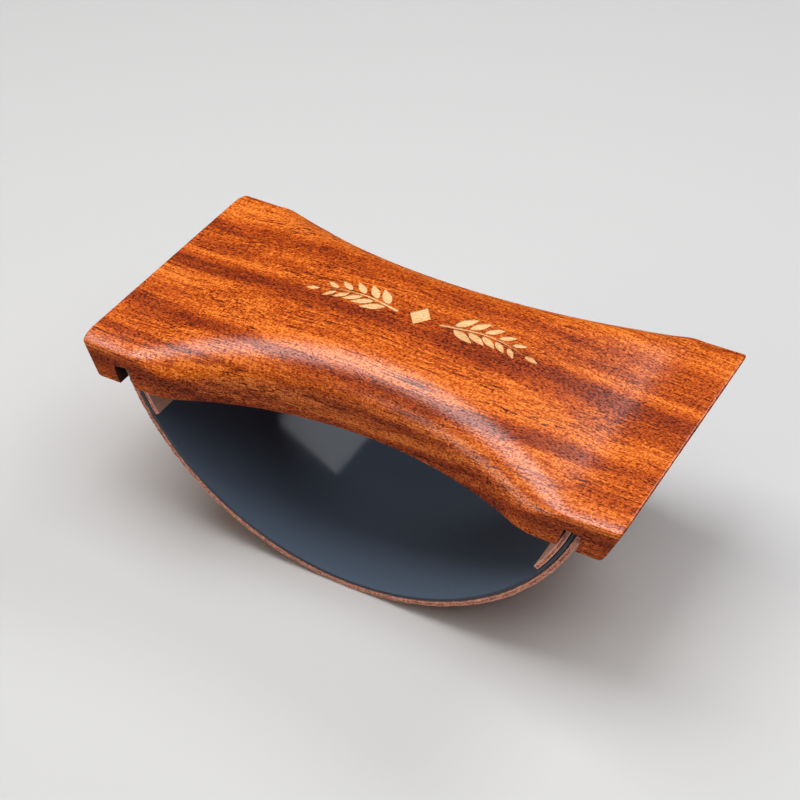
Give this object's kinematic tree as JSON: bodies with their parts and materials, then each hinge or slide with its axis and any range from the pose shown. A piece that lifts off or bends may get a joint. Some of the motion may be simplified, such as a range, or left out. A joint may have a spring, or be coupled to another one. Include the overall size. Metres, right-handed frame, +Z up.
{
  "type": "rocker blotter",
  "caption": "Waisted hardwood handle over a curved spring sheet with a leather facing, whose ends tuck into slanted grooves under the handle; it rocks on its curved base.",
  "frame": {"origin": "on the desk under the middle of the curved band, at the lowest point of its leather", "axes": "+X along the handle's length, +Y across it, +Z up through the handle's top"},
  "size_m": [0.1522, 0.0786, 0.0619],
  "materials": {
    "handle_wood": "satin lacquer over red-brown hardwood",
    "leather": "undyed tan leather, raw cut edges",
    "black_plastic": "smooth blue-black sheet"
  },
  "bodies": {
    "handle": {"handle": "handle_wood"},
    "band": {"leather_facing": "leather", "spring_sheet": "black_plastic", "inner_tab_right": "leather", "inner_tab_left": "leather"}
  },
  "joints": [
    {"name": "band_slide", "type": "slide", "parent": "handle", "child": "band", "axis": [0, 1, 0], "range_m": [-0.0755, 0.0755]}
  ]
}
